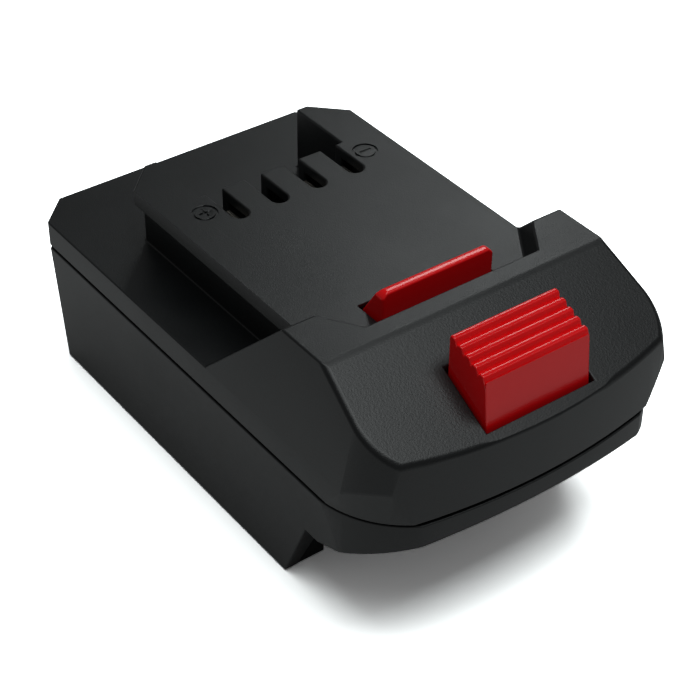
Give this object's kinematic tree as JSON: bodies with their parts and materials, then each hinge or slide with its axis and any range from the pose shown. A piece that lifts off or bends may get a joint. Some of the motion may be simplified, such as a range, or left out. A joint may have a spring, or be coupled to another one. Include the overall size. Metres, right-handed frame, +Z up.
{
  "type": "tool battery adapter",
  "caption": "Slide-on battery adapter with a flanged tool rail and red spring latch on top, and an open receiver channel with contact blades underneath.",
  "frame": {"origin": "centre of the bounding box at the foot of the skirts", "axes": "+X across the width, -Y towards the nose, +Z up from the receiver to the tool rail"},
  "size_m": [0.071, 0.1174, 0.0587],
  "materials": {
    "upper_plastic": "black moulded nylon with a fine grain",
    "lower_plastic": "black moulded nylon",
    "latch_red": "glossy red moulded acetal",
    "block_plastic": "dark grey moulded plastic",
    "contact_metal": "tin-plated copper alloy",
    "screw_steel": "zinc-plated steel",
    "spring_steel": "spring steel",
    "board_laminate": "green solder mask on glass laminate",
    "capacitor_sleeve": "dark blue shrink sleeve",
    "transistor_case": "black moulded epoxy",
    "socket_plastic": "off-white moulded nylon",
    "wire_red": "red wire insulation",
    "wire_black": "black wire insulation",
    "wire_yellow": "yellow wire insulation"
  },
  "bodies": {
    "body": {"upper_housing": "upper_plastic", "lower_housing": "lower_plastic", "housing_screws": "screw_steel", "latch_spring_left": "spring_steel", "latch_spring_right": "spring_steel", "contact_block": "block_plastic", "receiver_block": "block_plastic", "tool_contact_positive": "contact_metal", "tool_contact_negative": "contact_metal", "tool_contact_sense": "contact_metal", "receiver_blade_positive": "contact_metal", "receiver_blade_negative": "contact_metal", "receiver_blade_sense": "contact_metal", "circuit_board": "board_laminate", "board_screws": "screw_steel", "board_capacitor": "capacitor_sleeve", "board_transistor": "transistor_case", "board_connector": "socket_plastic", "wire_positive": "wire_red", "wire_negative": "wire_black", "wire_sense_battery": "wire_yellow", "wire_sense_tool": "wire_yellow"},
    "latch": {"latch_bar": "latch_red", "release_button": "latch_red"}
  },
  "joints": [
    {"name": "latch_press", "type": "slide", "parent": "body", "child": "latch", "axis": [0, 0, -1], "range_m": [0, 0.0045], "stiffness_N_per_m": 400, "deforming": ["latch_spring_left", "latch_spring_right"]}
  ]
}
